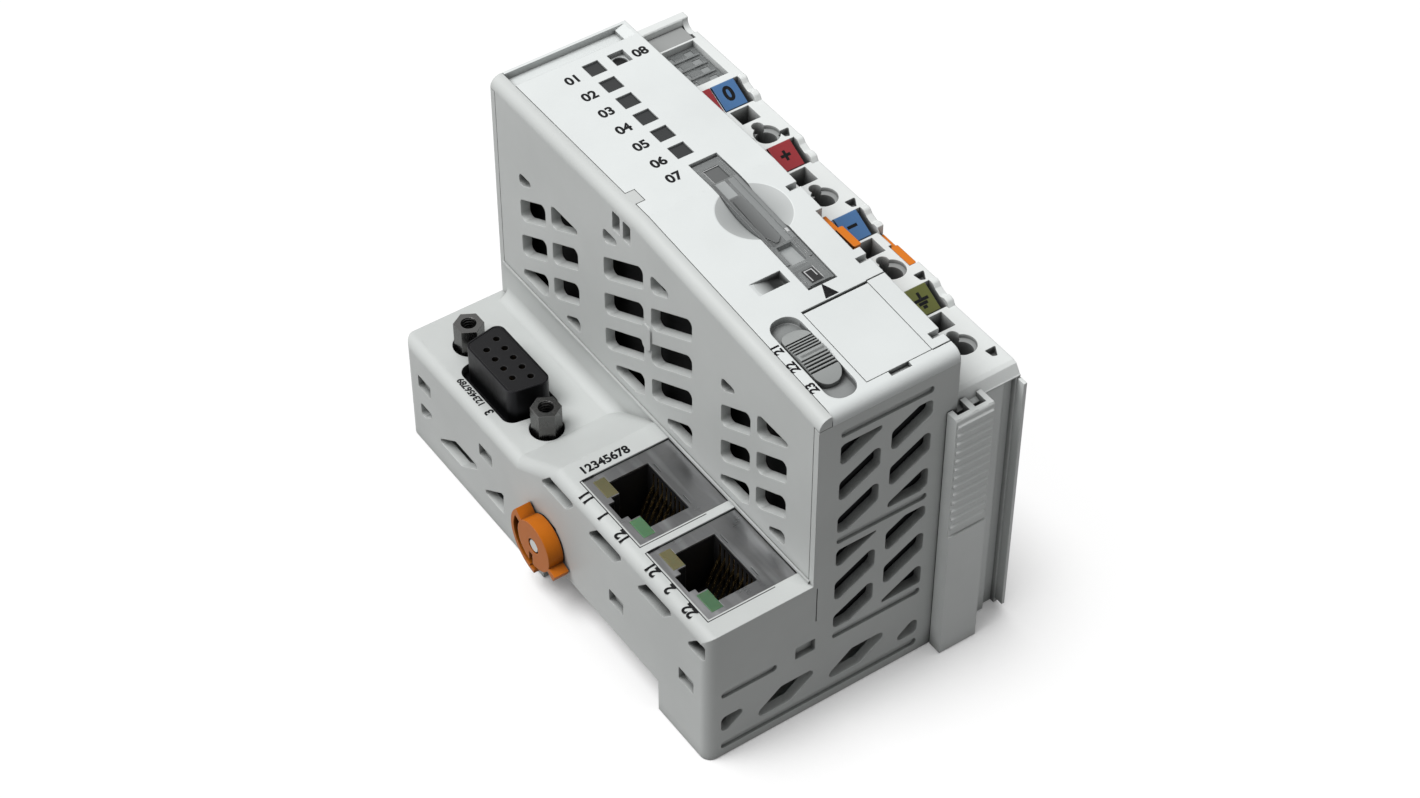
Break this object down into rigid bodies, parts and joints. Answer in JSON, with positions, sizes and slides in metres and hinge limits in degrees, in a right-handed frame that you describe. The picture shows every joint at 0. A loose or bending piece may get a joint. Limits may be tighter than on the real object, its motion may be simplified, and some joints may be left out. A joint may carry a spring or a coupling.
{
  "type": "plc module",
  "caption": "Rail-mounted controller module with a low socket part, a raised grille block with an operating face, and a spring clamp module with release tabs.",
  "frame": {"origin": "centre of the assembly's outline on its back plane", "axes": "+X along the rail towards the clamp module, +Y up the module towards its status windows, +Z out of the operating face"},
  "size_m": [0.0646, 0.1, 0.0719],
  "materials": {
    "housing_grey": "fine textured matt",
    "cover_white": "fine textured matt",
    "clear_grey": "translucent smoked",
    "orange": "semi-gloss",
    "latch_black": "matt",
    "slider_grey": "matt",
    "smoked": "smoked, semi-gloss",
    "nickel": "nickel plated",
    "dark_nickel": "dark nickel",
    "gold": "gold flash",
    "insulator": "matt black",
    "lamp_yellow": "unlit lens",
    "lamp_green": "unlit lens",
    "lamp_white": "unlit lamp",
    "board_green": "solder mask",
    "chip_black": "matt",
    "red": "semi-gloss",
    "blue": "semi-gloss",
    "olive": "semi-gloss",
    "steel": "spring steel",
    "copper": "tinned copper",
    "can_silver": "sleeved can",
    "pin_white": "semi-gloss"
  },
  "bodies": {
    "housing": {"activity_lamps": "lamp_green", "blue_markers": "blue", "board_connectors": "insulator", "bus_connector": "insulator", "card_socket": "nickel", "clamp_bars": "copper", "clamp_springs": "steel", "data_contacts": "gold", "disc_pivot": "pin_white", "earth_markers": "olive", "front_board": "board_green", "front_cover": "cover_white", "indicator_board": "board_green", "indicator_guides": "latch_black", "indicator_lamps": "lamp_white", "indicator_window": "clear_grey", "label_plate": "clear_grey", "left_return_spring": "steel", "light_guides": "smoked", "link_lamps": "lamp_yellow", "main_housing": "housing_grey", "mode_switch": "insulator", "network_body_1": "insulator", "network_body_2": "insulator", "network_contacts_1": "gold", "network_contacts_2": "gold", "network_shield_1": "nickel", "network_shield_2": "nickel", "network_transformers": "chip_black", "port_board": "board_green", "power_board": "board_green", "power_capacitors": "can_silver", "power_contacts": "copper", "power_inductor": "chip_black", "processor": "chip_black", "red_markers": "red", "reset_switch": "chip_black", "right_return_spring": "steel", "serial_contacts": "gold", "serial_insert": "insulator", "serial_nuts": "nickel", "serial_shell": "dark_nickel", "service_connector": "insulator", "service_pins": "gold", "side_cover": "cover_white", "status_lamps": "lamp_white", "terminal_board": "board_green", "terminal_housing": "housing_grey"},
    "locking_disc": {"locking_disc": "orange"},
    "card_cover": {"card_cover": "clear_grey"},
    "service_flap": {"service_flap": "cover_white"},
    "mode_slider": {"mode_slider": "slider_grey"},
    "reset_button": {"reset_button": "insulator"},
    "left_release_tab": {"left_release_tab": "orange"},
    "right_release_tab": {"right_release_tab": "orange"},
    "left_rail_latch": {"left_rail_latch": "latch_black"},
    "right_rail_latch": {"right_rail_latch": "latch_black"}
  },
  "joints": [
    {"name": "disc_turn", "type": "hinge", "parent": "housing", "child": "locking_disc", "pos_m": [-0.0309, 0.00015, 0.0123], "axis": [1, 0, 0], "range_deg": [0, 40]},
    {"name": "card_cover_hinge", "type": "hinge", "parent": "housing", "child": "card_cover", "pos_m": [0.00915, 0.00875, 0.07105], "axis": [-1, 0, 0], "range_deg": [0, 100]},
    {"name": "flap_hinge", "type": "hinge", "parent": "housing", "child": "service_flap", "pos_m": [0.00895, -0.02771, 0.06895], "axis": [-1, 0, 0], "range_deg": [0, 100]},
    {"name": "mode_slide", "type": "slide", "parent": "housing", "child": "mode_slider", "axis": [0, 0.9968, 0.0797], "range_m": [-0.0026, 0.0026]},
    {"name": "reset_press", "type": "slide", "parent": "housing", "child": "reset_button", "axis": [0, 0, -1], "range_m": [0, 0.0005], "stiffness_N_per_m": 400},
    {"name": "left_tab_pull", "type": "slide", "parent": "housing", "child": "left_release_tab", "axis": [0, 0, 1], "range_m": [0, 0.003], "stiffness_N_per_m": 300, "deforming": ["left_return_spring"]},
    {"name": "left_latch_slide", "type": "slide", "parent": "housing", "child": "left_rail_latch", "axis": [0, 1, 0], "range_m": [0, 0.002]},
    {"name": "right_tab_pull", "type": "slide", "parent": "housing", "child": "right_release_tab", "axis": [0, 0, 1], "range_m": [0, 0.003], "stiffness_N_per_m": 300, "deforming": ["right_return_spring"]},
    {"name": "right_latch_slide", "type": "slide", "parent": "housing", "child": "right_rail_latch", "axis": [0, 1, 0], "range_m": [0, 0.002]}
  ],
  "couplings": [
    {"joint": "left_latch_slide", "follows": "left_tab_pull", "ratio": 0.66667},
    {"joint": "right_latch_slide", "follows": "right_tab_pull", "ratio": 0.66667}
  ]
}
